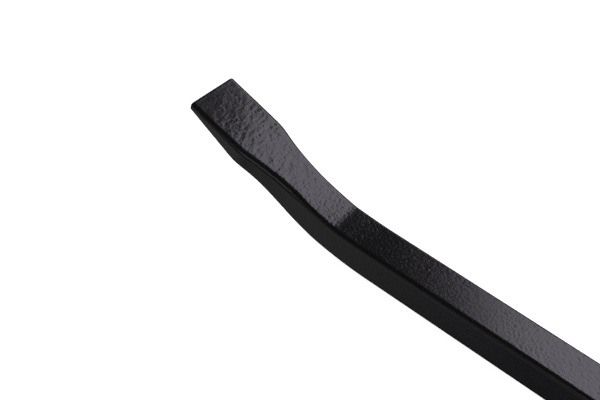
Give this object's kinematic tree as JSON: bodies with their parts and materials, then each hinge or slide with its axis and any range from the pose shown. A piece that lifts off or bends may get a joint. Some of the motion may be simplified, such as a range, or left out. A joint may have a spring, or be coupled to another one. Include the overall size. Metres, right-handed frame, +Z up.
{
  "type": "breaker bar",
  "caption": "Square steel breaker bar with a swivelling half-inch drive head at one end and a bent, flared pry tip forged at the other.",
  "frame": {"origin": "middle of the footprint, level with the flat underside of the fork", "axes": "+X along the bar towards the drive square, +Y across the bar, +Z up, parallel to the pivot of the drive head; the pry tip bends up at -X"},
  "size_m": [0.4571, 0.026, 0.045],
  "materials": {
    "bar_paint": "semi-gloss black paint over hammered forged steel",
    "fork_black": "satin black phosphate on a steel forging",
    "pin_steel": "tempered spring steel, lightly oiled",
    "head_chrome": "satin chrome plate",
    "screw_black": "black oxide",
    "washer_steel": "ground hardened strip",
    "ball_steel": "polished bearing steel",
    "spring_steel": "drawn music wire"
  },
  "bodies": {
    "handle": {"pry_bar": "bar_paint", "fork_head": "fork_black", "front_spring_pin": "pin_steel", "rear_spring_pin": "pin_steel", "pivot_screw": "screw_black", "thrust_washer": "washer_steel", "spring_washer": "washer_steel", "detent_spring": "spring_steel"},
    "swivel_head": {"drive_head": "head_chrome", "drive_spring": "spring_steel"},
    "head_detent": {"detent_ball": "ball_steel"},
    "socket_detent": {"drive_ball": "ball_steel"}
  },
  "joints": [
    {"name": "head_swivel", "type": "hinge", "parent": "handle", "child": "swivel_head", "pos_m": [0.1925, 0, 0.0125], "axis": [0, 0, 1], "range_deg": [-90, 90]},
    {"name": "head_detent_drop", "type": "slide", "parent": "handle", "child": "head_detent", "axis": [1, 0, 0], "range_m": [0, 0.00035], "stiffness_N_per_m": 2000, "springref_m": 0.001, "deforming": ["detent_spring"]},
    {"name": "socket_ball_press", "type": "slide", "parent": "swivel_head", "child": "socket_detent", "axis": [0, 0, -1], "range_m": [0, 0.0012], "stiffness_N_per_m": 1500, "springref_m": -0.0008, "deforming": ["drive_spring"]}
  ]
}
